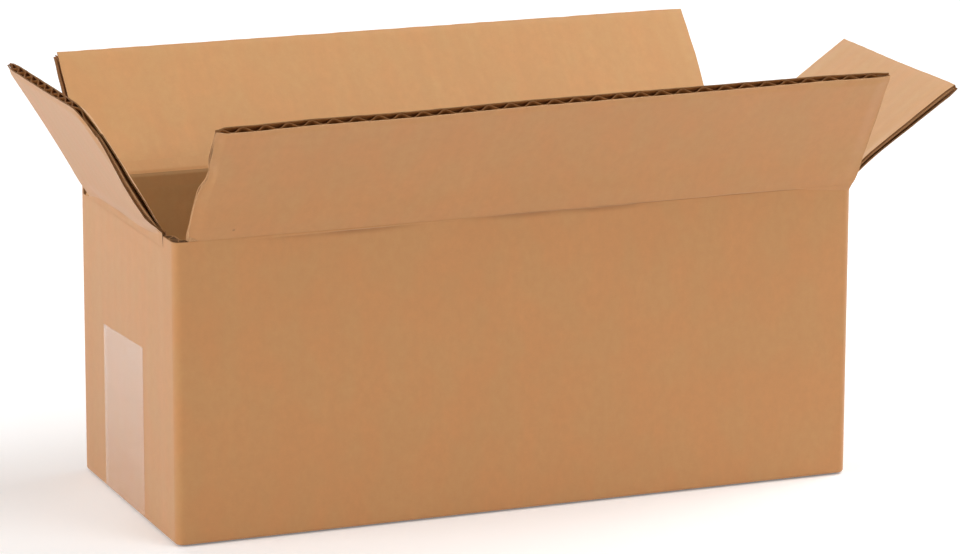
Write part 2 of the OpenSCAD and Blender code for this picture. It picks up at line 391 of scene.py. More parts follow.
def fluted_board(place, span, depth, roots, seed, bow=0.0, sink=None, sides=PLAIN_SIDES,
                 free_edge=PLAIN_EDGE, worn=0.0, crease=None, pale=(), lift=None):
    """The three papers of a board, u over the span and v up to depth. The wavy paper is a sine along u that
    meets each facing at its crests, and all three are pressed together at the cut edges. Each facing sinks a
    little between its glue lines, and the outer one sinks at the named crease. A worn corner is rounded at
    the right side. At a cut side the inner facing may stand out past the outer one and show as a bare strip.
    The outer facing may also be lifted, by a height given as a function of (u, v), and draws the wavy paper
    along in proportion to its distance from the inner facing."""
    left, right = span
    length = right - left
    count = round(length / FLUTE)
    pitch = length / count
    side_rows = [np.array(table).T for table in sides]
    edge_share, edge_reach, edge_bend, edge_pressed = np.array(free_edge).T
    root_face, root_back = roots
    band_start = depth - EDGE_BAND
    # Near the cut sides the raw paper is pale: partly its own tone, partly painted light
    pale_and_lit_from = (left + PALE_AND_LIT_REACH, right - PALE_AND_LIT_REACH, depth - 1 * MM, pale)
    papers = []

    def columns(per_flute, at_side):
        return rows((left, left + pitch, at_side), (left + pitch, right - pitch, per_flute * (count - 2)),
                    (right - pitch, right, at_side))

    def outline(u_grid, v_grid, inner=0.0):
        """Lets the edges wander, draws the sides in, and rounds the worn corner by pulling in the last rows."""
        rim = ease(v_grid - band_start, EDGE_BAND)
        v_out = v_grid - rim * FREE_WANDER * ripple(u_grid, 0 * u_grid, seed + 5, FREE_WAVES)
        v_out = v_out + np.interp((u_grid - left) / length, edge_share, edge_reach) * MM * v_grid / depth
        if worn:
            past = np.clip(u_grid - (right - worn), 0, worn)
            kept = np.sqrt(np.clip(worn ** 2 - past ** 2, 0, None)) / worn
            start = depth - worn
            v_out = np.where(v_grid > start, start + (v_out - start) * kept, v_out)
        u_out = u_grid
        for way, side, (share, _, _, drawn, slant) in ((-1, left, side_rows[0]), (1, right, side_rows[1])):
            near = 1 - ease(np.abs(u_grid - side), EDGE_BAND)
            inwards = np.interp(v_grid / depth, share, drawn - inner * slant) * MM
            inwards = inwards + SIDE_WANDER * ripple(v_grid, 0 * v_grid, seed + 9, SIDE_WAVES)
            u_out = u_out - way * near * inwards
        return u_out, v_out

    def pressed_in(u_grid, v_grid, column):
        """How far a facing is pressed towards the middle: the shares that the tables give at the free edge
        and beside each cut side, easing off inwards."""
        at_free = np.interp((u_grid - left) / length, edge_share, edge_pressed)
        share = at_free * ease(v_grid - (depth - FREE_REACH), FREE_REACH)
        for side, table in zip(span, side_rows):
            near = 1 - ease(np.abs(u_grid - side), SIDE_REACH)
            share = share * (1 - near) + near * np.interp(v_grid / depth, table[0], table[column])
        return share * (WAVE - PRESSED_GAP)

    def bend(u_grid, v_grid):
        """Depth that the whole board is moved by: a shallow bow over its depth, slow dents, and the bend of
        its free edge, which grows with the square of the height."""
        free = ease(v_grid - root_back, ROOT_BAND)
        height = np.clip(v_grid / depth, 0, 1)
        curve = bow * np.sin(math.pi * height)
        dents = DENT * (ripple(u_grid, v_grid, seed, FLAP_DENTS) - 0.5)
        turned = np.interp((u_grid - left) / length, edge_share, edge_bend) * MM * height ** 2
        return free * (curve + dents + turned)

    def facing(root, towards, look, ribs):
        """One facing, on the outer side where towards is 1 and on the inner side where it is -1."""
        creased = crease is not None and towards > 0
        v = rows((root, root + CREASE_BAND, 25 if creased else 9), (root + CREASE_BAND, band_start, 18),
                 (band_start, depth, 8))
        u_grid, v_grid = np.meshgrid(columns(FLAT_STEPS, 3 * FLAT_STEPS), v)
        glue = np.sin(2 * math.pi * (u_grid - left) / pitch)
        pressed = pressed_in(u_grid, v_grid, 1 if towards > 0 else 2)
        dip = pressed + ribs * np.clip(1 - pressed / WAVE, 0, 1) * (1 + towards * glue)
        # The crease's dip in the outer facing, which also sets the painted shade along it
        crease_dip_and_shade = crease_line(crease, u_grid, v_grid) if creased else 0 * dip
        dip = dip + crease_dip_and_shade
        skin = BOARD / 2 - towards * (BOARD / 2 - dip) + bend(u_grid, v_grid)
        if sink is not None and towards > 0:
            skin = skin + sink(placed(place, u_grid, v_grid, 0 * u_grid))
        if lift is not None and towards > 0:
            skin = skin - lift(u_grid, v_grid)
        u_out, v_out = outline(u_grid, v_grid, 0.0 if towards > 0 else 1.0)
        sheet = [placed(place, u_out, v_out, w) for w in sorted((skin, skin + towards * LINER), key=np.mean)]
        papers.append(shell(*sheet, u_grid, v_grid, LINER, look, pale_and_lit_from, v[0] if creased else None, crease_dip_and_shade))

    # The front flap's outer facing has pale cut rims all along: partly the paper's tone, partly a painted
    # highlight
    rim = CUT_PAPER if CUT_BROWN in pale else CUT_BROWN
    # The facings' sides inside the board take the wavy paper's darker brown, as painted shade
    facing(root_face, 1, (KRAFT_FACE, FLUTE_PAPER_SHADED, rim), WASHBOARD)
    facing(root_back, -1, (FLUTE_PAPER_SHADED, KRAFT_INSIDE, CUT_BROWN), INNER_WASHBOARD)

    v = rows((root_back, band_start, 8), (band_start, depth - 0.1 * MM, 6))
    u_grid, v_grid = np.meshgrid(columns(WAVY_STEPS, 2 * WAVY_STEPS), v)
    from_face = pressed_in(u_grid, v_grid, 1)
    from_back = pressed_in(u_grid, v_grid, 2)
    middle = BOARD / 2 + (from_face - from_back) / 2
    swing = WAVE - (from_face + from_back) / 2
    wave = middle + swing * np.sin(2 * math.pi * (u_grid - left) / pitch)
    if lift is not None:
        wave = wave - lift(u_grid, v_grid) * (1 - wave / BOARD)
    wave = wave + bend(u_grid, v_grid)
    u_out, v_out = outline(u_grid, v_grid, 0.5)
    face = placed(place, u_out, v_out, wave - MEDIUM / 2)
    back = placed(place, u_out, v_out, wave + MEDIUM / 2)
    papers.append(shell(face, back, u_grid, v_grid, MEDIUM, (FLUTE_PAPER_SHADED, FLUTE_PAPER_SHADED, CUT_BROWN), pale_and_lit_from))
    return papers


# Materials

def new_material(name):
    """An empty material, with its node tree and its shader."""
    material = bpy.data.materials.new(name)
    material.use_nodes = True
    nodes = material.node_tree.nodes
    return material, material.node_tree, nodes["Principled BSDF"]


def add_node(tree, kind, inputs=None, **settings):
    """A node with its settings and its unlinked inputs."""
    node = tree.nodes.new(kind)
    for key, value in settings.items():
        setattr(node, key, value)
    for key, value in (inputs or {}).items():
        node.inputs[key].default_value = value
    return node


def sheet_coordinates(tree):
    """The sheet's own (u, v), in metres."""
    return add_node(tree, "ShaderNodeUVMap", uv_map="sheet").outputs["UV"]


def math_step(tree, operation, first, second=None):
    """One step of arithmetic. Each term may be a socket or a value."""
    node = add_node(tree, "ShaderNodeMath", operation=operation)
    for socket, value in zip(node.inputs, (first, second)):
        if isinstance(value, bpy.types.NodeSocket):
            tree.links.new(value, socket)
        elif value is not None:
            socket.default_value = value
    return node.outputs["Value"]


def bumped(tree, shader, height, strength, distance):
    """Fine relief on the shader's normal."""
    surface = add_node(tree, "ShaderNodeBump", {"Strength": strength, "Distance": distance})
    tree.links.new(height, surface.inputs["Height"])
    tree.links.new(surface.outputs["Normal"], shader.inputs["Normal"])


def noise(tree, vector, scale, detail=3.0, rough=0.55):
    """Noise of that many features in a metre."""
    node = add_node(tree, "ShaderNodeTexNoise", {"Scale": scale, "Detail": detail, "Roughness": rough})
    tree.links.new(vector, node.inputs["Vector"])
    return node.outputs["Fac"]


def set_plain(shader, values):
    """Numbers and colours that are the same all over, set on the shader's own sockets."""
    for key, value in values.items():
        shader.inputs[key].default_value = value


def remap(tree, value, low, high, to_low, to_high):
    """Straight-line change of a value's range, kept inside its ends."""
    node = add_node(tree, "ShaderNodeMapRange",
                    {"From Min": low, "From Max": high, "To Min": to_low, "To Max": to_high})
    tree.links.new(value, node.inputs["Value"])
    return node.outputs["Result"]


def mixed(tree, factor, first, second, blend="MIX"):
    """A colour mix. A factor, first or second may be a socket or a value."""
    node = add_node(tree, "ShaderNodeMix", data_type="RGBA", blend_type=blend)
    for socket, value in ((node.inputs[0], factor), (node.inputs[6], first), (node.inputs[7], second)):
        if isinstance(value, bpy.types.NodeSocket):
            tree.links.new(value, socket)
        else:
            socket.default_value = value
    return node.outputs[2]


def kraft(name, base, seed_shift, streak):
    """Kraft facing: a slow cloudy tone, faint streaks along the flutes, short fibres, fine grain, a few dark
    specks, and painted shade along the creases."""
    material, tree, shader = new_material(name)
    link = tree.links.new
    dark = tuple(c * share for c, share in zip(base, (0.90, 0.87, 0.84)))
    pale = tuple(c * share for c, share in zip(base, (1.08, 1.11, 1.16)))
    moved = add_node(tree, "ShaderNodeVectorMath", {1: (seed_shift, 0.37 * seed_shift, 0)}, operation="ADD")
    link(sheet_coordinates(tree), moved.inputs[0])
    even = moved.outputs["Vector"]

    def stretched(along, up):
        node = add_node(tree, "ShaderNodeVectorMath", {1: (along, up, 1)}, operation="MULTIPLY")
        link(even, node.inputs[0])
        return node.outputs["Vector"]

    cloud = noise(tree, even, 30, 3.0)
    fibre = noise(tree, stretched(0.3, 1), 1900, 2.0, 0.6)
    grain = noise(tree, even, 3200, 2.0, 0.6)
    lines = noise(tree, stretched(1, 0.05), 150, 2.0, 0.5)
    tone = mixed(tree, remap(tree, cloud, 0.3, 0.7, 0.25, 0.75), (*dark, 1), (*pale, 1))
    olive = (base[0] * 0.95, base[1] * 1.05, base[2] * 1.10, 1)
    ruddy = (base[0] * 1.05, base[1] * 0.96, base[2] * 0.92, 1)
    hue = noise(tree, stretched(1, 0.6), 75, 2.0, 0.5)
    tone = mixed(tree, 0.6, tone, mixed(tree, remap(tree, hue, 0.4, 0.6, 0, 1), olive, ruddy))
    mottle = noise(tree, stretched(1, 0.7), 330, 4.0, 0.65)
    for value, shares, colour in ((mottle, (0.35, 0.65, 0.6, 0), dark), (lines, (0.35, 0.65, streak, 0), dark),
                                  (fibre, (0.55, 0.75, 0, 0.35), pale), (fibre, (0.42, 0.25, 0, 0.35), dark),
                                  (grain, (0.35, 0.65, 0.22, 0), dark)):
        tone = mixed(tree, remap(tree, value, *shares), tone, (*colour, 1))
    cells = add_node(tree, "ShaderNodeTexVoronoi", {"Scale": 55.0, "Randomness": 1.0})
    link(even, cells.inputs["Vector"])
    near = remap(tree, cells.outputs["Distance"], 0.02, 0.035, 1, 0)
    chosen = add_node(tree, "ShaderNodeSeparateColor")
    link(cells.outputs["Color"], chosen.inputs["Color"])
    rare = math_step(tree, "GREATER_THAN", chosen.outputs["Red"], 0.965)
    faint = math_step(tree, "MULTIPLY", math_step(tree, "MULTIPLY", near, rare), 0.5)
    tone = mixed(tree, faint, tone, (dark[0] * 0.35, dark[1] * 0.3, dark[2] * 0.28, 1))
    # Painted shade along the creases: the tone darkens by the creased share that each point keeps
    crease = add_node(tree, "ShaderNodeAttribute", attribute_name="creased")
    crease_dip_and_shade = (dark[0] * 0.62, dark[1] * 0.55, dark[2] * 0.48, 1)
    tone = mixed(tree, remap(tree, crease.outputs["Fac"], 0.2, 1, 0, 0.6), tone, crease_dip_and_shade)
    link(tone, shader.inputs["Base Color"])
    link(remap(tree, fibre, 0.3, 0.7, 0.60, 0.72), shader.inputs["Roughness"])
    set_plain(shader, {"Specular IOR Level": 0.5, "Sheen Weight": 0.35, "Sheen Roughness": 0.5})
    bumped(tree, shader, math_step(tree, "ADD", fibre, grain), 0.3, 0.04 * MM)
    return material


def raw_paper(name, base, dark, scale):
    """Paper on a cut edge or inside the board: rougher, with a torn, fibrous tone."""
    material, tree, shader = new_material(name)
    fray = noise(tree, sheet_coordinates(tree), scale, 3.0, 0.7)
    tone = mixed(tree, remap(tree, fray, 0.3, 0.7, 0, 1), (*dark, 1), (*base, 1))
    tree.links.new(tone, shader.inputs["Base Color"])
    set_plain(shader, {"Roughness": 0.85, "Specular IOR Level": 0.2})
    bumped(tree, shader, fray, 0.4, 0.08 * MM)
    return material


def cut_board(name, paper, hollow):
    """The end grain of a board on a rim mapped by (u, depth): paper where the depth is in a facing or
    within half a paper of the sine, and shadow between."""
    material, tree, shader = new_material(name)
    spot = sheet_coordinates(tree)
    parts = add_node(tree, "ShaderNodeSeparateXYZ")
    tree.links.new(spot, parts.inputs["Vector"])
    turn = math_step(tree, "MULTIPLY", parts.outputs["X"], 2 * math.pi / FLUTE)
    wave = math_step(tree, "MULTIPLY", math_step(tree, "SINE", turn), WAVE)
    middle = math_step(tree, "SUBTRACT", parts.outputs["Y"], BOARD / 2)
    from_wave = math_step(tree, "ABSOLUTE", math_step(tree, "SUBTRACT", middle, wave))
    from_middle = math_step(tree, "ABSOLUTE", middle)
    in_wave = remap(tree, from_wave, 0.15 * MM, 0.35 * MM, 1, 0)
    in_facing = remap(tree, from_middle, BOARD / 2 - LINER - 0.1 * MM, BOARD / 2 - LINER + 0.1 * MM, 0, 1)
    solid = math_step(tree, "MAXIMUM", in_wave, in_facing)
    fray = noise(tree, spot, 1500, 2.0, 0.7)
    lit = mixed(tree, fray, (paper[0] * 0.75, paper[1] * 0.72, paper[2] * 0.7, 1), (*paper, 1))
    tree.links.new(mixed(tree, solid, (*hollow, 1), lit), shader.inputs["Base Color"])
    set_plain(shader, {"Roughness": 0.9, "Specular IOR Level": 0.05})
    return material


def tape_film(name):
    """Clear film: mostly see-through, pale and smooth. Towards its ends it is milkier and so paler, a painted
    sheen up the end walls, and it is a little milkier along one edge. It is mapped by (distance across,
    distance along)."""
    material, tree, shader = new_material(name)
    spot = sheet_coordinates(tree)
    parts = add_node(tree, "ShaderNodeSeparateXYZ")
    tree.links.new(spot, parts.inputs["Vector"])
    from_end = math_step(tree, "SUBTRACT", TAPE_LENGTH, parts.outputs["Y"])
    nearest = math_step(tree, "MINIMUM", parts.outputs["Y"], from_end)
    # Painted sheen: more cover towards the ends makes the film paler up the end walls
    milk_and_sheen = remap(tree, nearest, 0, TAPE_UP, 0.22, 0.10)
    at_edge = remap(tree, parts.outputs["X"], TAPE_WIDTH / 2 - 5 * MM, TAPE_WIDTH / 2 - 2 * MM, 0, 0.05)
    patchy = remap(tree, noise(tree, spot, 90, 3.0, 0.5), 0.3, 0.7, -0.02, 0.02)
    cover = math_step(tree, "ADD", math_step(tree, "ADD", milk_and_sheen, at_edge), patchy)
    tree.links.new(cover, shader.inputs["Alpha"])
    set_plain(shader, {"Base Color": (1.0, 0.88, 0.80, 1), "Roughness": 0.35, "Specular IOR Level": 0.6})
    bumped(tree, shader, noise(tree, spot, 40, 2.0), 0.1, 0.4 * MM)
    return material


face = kraft("kraft_outside", (0.520, 0.243, 0.079), 0.0, 0.15)
inside = kraft("kraft_inside", (0.585, 0.295, 0.098), 3.1, 0.45)
# A darker copy of the inner paper, painted shade inside the box, on the walls' inner faces and the lower inner
# fold
well_shaded = kraft("kraft_well_shaded", (0.480, 0.280, 0.108), 3.1, 0.30)
edge_paper = raw_paper("cut_paper", (0.58, 0.33, 0.16), (0.42, 0.22, 0.10), 1400)
# The wavy paper's own darker brown; on the facings' sides inside the board it is painted shade
flute_paper_shaded = raw_paper("flute_paper_shaded", (0.40, 0.155, 0.038), (0.24, 0.09, 0.022), 900)
end_grain = cut_board("cut_board", (0.34, 0.17, 0.070), (0.075, 0.034, 0.012))
brown_edge = raw_paper("cut_edge", (0.23, 0.105, 0.036), (0.13, 0.056, 0.018), 1400)
film = tape_film("clear_film")
BOARD_LOOKS = [face, inside, edge_paper, flute_paper_shaded, end_grain, brown_edge, well_shaded]


# The walls, one sheet carried round the box

def line_run(outer_a, outer_b, inner_a, inner_b, steps):
    """Straight stretch of the sheet in plan: points of its outer and its inner face, in step."""
    t = np.linspace(0, 1, steps + 1)[:, None]
    outer = np.array(outer_a) + t * (np.array(outer_b) - np.array(outer_a))
    inner = np.array(inner_a) + t * (np.array(inner_b) - np.array(inner_a))
    return outer, inner


def corner_run(sx, sy, start, steps=10):
    """Quarter turn round the upright corner on the side (sx, sy), clockwise from the angle start."""
    angle = math.radians(start) - np.linspace(0, math.pi / 2, steps + 1)
    ring = np.stack([np.cos(angle), np.sin(angle)], -1)
    side = np.array([sx, sy])
    corner = side * (OUTER_L / 2, OUTER_W / 2)
    outer_mid = corner - side * CORNER_R
    inner_mid = corner - side * (BOARD + INNER_CORNER_R)
    return outer_mid + CORNER_R * ring, inner_mid + INNER_CORNER_R * ring


def joined(*runs):
    """Runs of the sheet one after the other, with their shared points written once."""
    outer = np.concatenate([runs[0][0]] + [run[0][1:] for run in runs[1:]])
    inner = np.concatenate([runs[0][1]] + [run[1][1:] for run in runs[1:]])
    return outer, inner


def wall_runs():
    """The stretches of the sheet, clockwise from above, from the cut end at the glued corner to the fold of
    the tab, each with the height of its outer and inner top edge. A panel carries a top flap and is mitred,
    a post stands up between two flaps, a flat is where the slot for a long flap was cut, and a nub is the
    corner beside it."""
    x_out, y_out = OUTER_L / 2, OUTER_W / 2
    x_in, y_in = x_out - BOARD, y_out - BOARD
    x_post = x_out - LONG_LEFT + SIDE_GAP
    y_post = y_out - END_RIGHT + SIDE_GAP
    y_slot = y_out - END_LEFT + SIDE_GAP
    x_arc, y_arc = x_out - CORNER_R, y_out - CORNER_R
    x_bend, y_bend = x_in - INNER_CORNER_R, y_in - INNER_CORNER_R
    y_near = y_bend - 0.3 * MM
    post_tops = (CREASE_H, CREASE_H)
    end_tops = (END_CREASE_H, END_CREASE_H - BOARD)
    long_tops = (CREASE_H, CREASE_H - BOARD)
    slot_tops = (END_CREASE_H, END_CREASE_H)
    nub_tops = (CREASE_H, END_CREASE_H - 0.8 * MM)
    long_steps = FLAT_STEPS * round(LONG_L / FLUTE)
    end_steps = FLAT_STEPS * round(END_L / FLUTE)

    y_cut = y_out - CUT_SHORT
    runs = [("post", post_tops, line_run((x_out, y_cut), (x_out, y_post), (x_in, y_cut), (x_in, y_post), 3))]
    for s, start in ((1, 0), (-1, 180)):
        runs.append(("end", end_tops, line_run((s * x_out, s * y_post), (s * x_out, -s * y_slot),
                                               (s * x_in, s * y_post), (s * x_in, -s * y_slot), end_steps)))
        runs.append(("flat", slot_tops, line_run((s * x_out, -s * y_slot), (s * x_out, -s * y_in),
                                                 (s * x_in, -s * y_slot), (s * x_in, -s * y_near), 2)))
        to_arc = line_run((s * x_out, -s * y_in), (s * x_out, -s * y_arc),
                          (s * x_in, -s * y_near), (s * x_in, -s * y_bend), 1)
        runs.append(("nub", nub_tops, joined(to_arc, corner_run(s, -s, start))))
        long_side = line_run((s * x_arc, -s * y_out), (-s * x_post, -s * y_out),
                             (s * x_bend, -s * y_in), (-s * x_post, -s * y_in), long_steps)
        runs.append(("long", long_tops, long_side))
        if s == 1:
            runs.append(("post", post_tops, joined(
                line_run((-x_post, -y_out), (-x_arc, -y_out), (-x_post, -y_in), (-x_bend, -y_in), 2),
                corner_run(-1, -1, -90),
                line_run((-x_out, -y_arc), (-x_out, -y_post), (-x_in, -y_bend), (-x_in, -y_post), 6))))

    joint_fold = corner_run(1, 1, 90)
    fold_inner = np.broadcast_to([x_in - BOARD, y_in], joint_fold[1].shape)
    glued_fold = (joint_fold[0] - np.array([BOARD, 0]), fold_inner)
    to_fold = line_run((x_post, y_out), (x_in - CORNER_R, y_out), (x_post, y_in), (x_in - BOARD, y_in), 2)
    runs.append(("post", post_tops, joined(to_fold, glued_fold)))
    return runs


def carton_walls():
    """Each stretch is a closed board. Its outer face sinks by a quarter turn into the bottom fold, by a bell
    curve at the crease, by a ripple between glue lines and by slow dents that die out at its edges."""
    shells = []
    travelled = 0.0
    for number, (kind, (face_top, back_top), (outer, inner)) in enumerate(wall_runs()):
        flap = {"long": "front_flap" if outer[0, 1] < 0 else "back_flap",
                "end": "left_flap" if outer[0, 0] < 0 else "right_flap"}.get(kind)
        z = rows((0, FOLD_R, 5), (FOLD_R, face_top - CREASE_BAND, 34),
                 (face_top - CREASE_BAND, face_top, 25 if flap else 8))
        gaps = np.linalg.norm(np.diff(outer, axis=0), axis=1)
        s = travelled + np.concatenate([[0], np.cumsum(gaps)])
        travelled = s[-1]
        way = np.gradient(outer, axis=0)
        way /= np.linalg.norm(way, axis=1)[:, None]
        inwards = np.stack([way[:, 1], -way[:, 0]], -1)
        s_grid, z_grid = np.meshgrid(s, z)
        sink = FOLD_R - np.sqrt(np.clip(FOLD_R ** 2 - np.clip(FOLD_R - z_grid, 0, None) ** 2, 0, None))
        back_sink = 0 * sink
        crease_dip_and_shade = 0 * sink
        if flap:
            inside_panel = ease(np.minimum(s_grid - s[0], s[-1] - s_grid), PANEL_BAND)
            inside_panel = inside_panel * ease(z_grid, PANEL_BAND) * ease(face_top - z_grid, CREASE_BAND)
            glue = np.cos(2 * math.pi * s_grid / FLUTE)
            dents = DENT * ripple(s_grid, z_grid, 40 + number, WALL_DENTS)
            sink = sink + inside_panel * (WASHBOARD * (1 + glue) + dents)
            # The crease's dip in the wall's outer face, which also sets the painted shade along it
            crease_dip_and_shade = crease_line(flap, outer @ flap_place(flap)[1][:2], z_grid - face_top)
            sink = sink + crease_dip_and_shade
            back_dents = 0.5 * DENT * ripple(s_grid, z_grid, 80 + number, INNER_DENTS)
            back_sink = inside_panel * (INNER_WASHBOARD * (1 - glue) + back_dents)
        spot = outer + sink[..., None] * inwards
        face_grid = np.concatenate([spot, z_grid[..., None]], -1)
        back_z = z_grid * back_top / face_top
        back_spot = inner - back_sink[..., None] * inwards
        back_grid = np.concatenate([back_spot, back_z[..., None]], -1)
        # The walls' inner faces take the darker copy of the inner paper: painted shade inside the box
        shells.append(shell(face_grid, back_grid, s_grid, z_grid, BOARD, (KRAFT_FACE, KRAFT_WELL_SHADED, CUT_BOARD),
                            folded=face_top if flap else None, creased=crease_dip_and_shade))
    return piece("carton_walls", shells)


def glue_tab():
    """Pressed flat against the right wall inside, with both its ends slanted."""
    across = np.linspace(0, TAB_WIDTH, 17)
    up = np.linspace(0, 1, 21)
    low = LAYER + BOARD + TAB_CLEAR
    high = END_CREASE_H - BOARD - TAB_CLEAR
    a_grid, t_grid = np.meshgrid(across, up)
    slant = TAB_SLANT * a_grid / TAB_WIDTH
    z_grid = (low + slant) + t_grid * (high - low - 2 * slant)
    y_grid = OUTER_W / 2 - BOARD - a_grid
    ridges = WASHBOARD * (1 + np.cos(2 * math.pi * a_grid / FLUTE))
    x_face = OUTER_L / 2 - BOARD + 0 * a_grid
    x_back = x_face - TAB_THICK + ridges
    face_grid = np.stack([x_face, y_grid, z_grid], -1)
    back_grid = np.stack([x_back, y_grid, z_grid], -1)
    looks = (KRAFT_FACE, KRAFT_INSIDE, CUT_BOARD)
    return piece("glue_tab", [shell(face_grid, back_grid, a_grid, z_grid, BOARD, looks)])


def bottom_flaps():
    """The two long flaps lie on the ground, and the two end flaps on them. The tape's place under the seam
    is pressed in by the tape's thickness."""
    made = []

    def under_tape(points):
        return 1.2 * TAPE_THICK * ease(TAPE_WIDTH / 2 + 1 * MM - np.abs(points[..., 1] - TAPE_SHIFT), 2 * MM)

    roots = (BOARD, BOARD)
    half = OUTER_L / 2 - BOTTOM_INSET
    for side, name in ((-1, "bottom_flap_front"), (1, "bottom_flap_back")):
        place = np.array([(0, side * OUTER_W / 2, 0), (-side, 0, 0), (0, -side, 0), (0, 0, 1)])
        made.append(piece(name, fluted_board(place, (-half, half), LONG_D, roots, 20 + side, sink=under_tape)))
    half = OUTER_W / 2 - BOTTOM_INSET
    for side, name in ((-1, "bottom_flap_left"), (1, "bottom_flap_right")):
        place = np.array([(side * OUTER_L / 2, 0, LAYER), (0, side, 0), (-side, 0, 0), (0, 0, 1)])
        made.append(piece(name, fluted_board(place, (-half, half), END_D, roots, 30 + side)))
    return made


# The top flaps and their folds

def top_flap(name):
    """A flap of three papers on its hinge line."""
    depth = LONG_D if name in LONG_FLAPS else END_D
    # Near the cut sides the named raw papers are pale, partly their own tone and partly painted light
    papers = fluted_board(flap_place(name), flap_span(name), depth, (ROOT_GAP, BOARD + ROOT_GAP),
                          100 + 10 * sorted(LEAN).index(name), BOW[name] * MM, sides=CUT_SIDES[name],
                          free_edge=FREE_EDGES.get(name, PLAIN_EDGE),
                          worn=WORN_R if name == "left_flap" else 0.0,
                          crease=name,
                          pale=(FLUTE_PAPER_SHADED, CUT_BROWN) if name == "front_flap" else (FLUTE_PAPER_SHADED,),
                          lift={"front_flap": crushed_lift, "left_flap": raised_fold}.get(name))
    return piece(name + "_board", papers)


def crease_fold(name):
    """The pressed board in the crease, in section a fan about the hinge. Its inner edge follows the wall's
    inner plane, a distance BOARD / sin(angle) away, up to the line where the flap's inner plane meets it, and
    then the mirror of that, less a bell-shaped groove at the meeting line."""
    hinge, along, _, _ = flap_place(name)
    outward = np.array(OUTWARD[name], float)
    whole = math.pi + math.radians(LEAN[name])
    flap_mitre = math.atan2(BOARD, BOARD + ROOT_GAP)
    angle = np.linspace(math.pi / 4, whole - flap_mitre, 57)
    radius = BOARD / np.sin(np.minimum(angle, whole - angle))
    radius = radius - GROOVE * valley(BOARD * (angle - whole / 2), GROOVE_REACH)
    section = np.stack([np.sin(angle) * radius, -np.cos(angle) * radius], -1)
    left, right = flap_span(name)
    u = np.linspace(left, right, FLAT_STEPS * round((right - left) / FLUTE) + 1)
    u_grid, a_grid = np.meshgrid(u, angle)
    middle = np.sin(math.pi * (a_grid - angle[0]) / (angle[-1] - angle[0]))
    wrinkle = 1 - 0.03 * middle * ripple(u_grid, a_grid * 0.01, 7, 11 * MM)
    reach = -section[:, :1, None] * outward + section[:, 1:, None] * np.array([0, 0, 1])
    back_grid = hinge + u_grid[..., None] * along + reach * wrinkle[..., None]
    where, _, depth = np.array(CREASES[name]).T * MM
    tip = FOLD_TIP + FOLD_TIP_SUNK * np.clip(np.interp(u_grid, where, depth) / CREASE_FULL, 0, 1)
    face_grid = hinge + u_grid[..., None] * along + tip[..., None] * reach
    v_grid = CREASE_H + BOARD * a_grid
    points, faces, mapping, look, creased = shell(face_grid, back_grid, u_grid, v_grid, BOARD,
                                                  (KRAFT_FACE, KRAFT_INSIDE, CUT_PAPER))
    # Below the groove's middle the inner face takes the darker copy of the inner paper: painted shade inside
    # the box
    below = mapping[..., 1].mean(1) < CREASE_H + BOARD * whole / 2
    look = np.where((look == KRAFT_INSIDE) & below, KRAFT_WELL_SHADED, look)
    fold = piece(name.replace("flap", "crease") + "_fold", [(points, faces, mapping, look, creased)])
    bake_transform(fold)
    return fold


def raised_fold(u, v):
    """How far the left flap's outer facing stands out, here inwards: it goes straight up from the wall to the
    height that the table gives, and then leans out a little more until it is back in the flap's own plane."""
    left, right = flap_span("left_flap")
    lean = math.radians(LEAN["left_flap"])
    bend_at = np.interp((u - left) / (right - left), *np.array(RAISED_FOLD).T) * MM / math.cos(lean)
    return -math.sin(lean) * np.where(v < bend_at, v, bend_at * (1 - ease(v - bend_at, RAISED_UP)))


def crushed_share(u):
    """0 along most of the front crease, and from there to its right end one branch of a hyperbola that rises
    to 1, nearly straight."""
    t = np.clip((u - flap_span("front_flap")[1]) / CRUSHED_LENGTH + 1, 0, 1)
    return (np.hypot(t, CRUSHED_START) - CRUSHED_START) / (math.hypot(1, CRUSHED_START) - CRUSHED_START)


def crushed_lift(u, v):
    """How far the front flap's outer facing stands out where the board folds lower, dying out up the flap."""
    return CRUSHED_LIFT * crushed_share(u) * (1 - ease(v, CRUSHED_UP))


def crushed_end():
    """The board between the lifted end of the front flap and the fold lower down the wall. In section it is
    a thin wedge: its face goes on straight from the flap's facing to the wall, and its back lies inside. It
    starts sunk in the board, and comes out to the surface as the crease turns down."""
    hinge, along, up, inward = flap_place("front_flap")
    outward = np.array(OUTWARD["front_flap"], float)
    down = CRUSHED_DOWN * np.array([0, 0, -1])
    right = flap_span("front_flap")[1]
    u = np.linspace(right - CRUSHED_LENGTH, right, 41)
    t = np.linspace(0, 1, 9)
    u_grid, t_grid = np.meshgrid(u, t)
    grown = crushed_share(u_grid)[..., None]
    share = t_grid[..., None]
    proud = CRUSHED_PROUD - CRUSHED_SUNK * np.clip(1 - 5 * grown, 0, 1)
    low = hinge + proud * outward + grown * down
    high = hinge + CRUSHED_ROOT * up - (proud + grown * CRUSHED_LIFT) * inward
    spread = ease(u_grid - (right - EDGE_BAND), EDGE_BAND) * (0.35 + 0.3 * t_grid) * MM
    face_grid = low + share * (high - low) + (u_grid + spread)[..., None] * along
    back_grid = face_grid + (0.15 * MM + np.minimum(grown, 0.6) * MM * np.sin(math.pi * share)) * inward
    wedge = shell(face_grid, back_grid, u_grid, 5 * MM * t_grid, BOARD, (KRAFT_FACE, KRAFT_FACE, CUT_PAPER))
    fold = piece("front_crease_crushed_end", [wedge])
    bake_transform(fold)
    return fold


# The tape

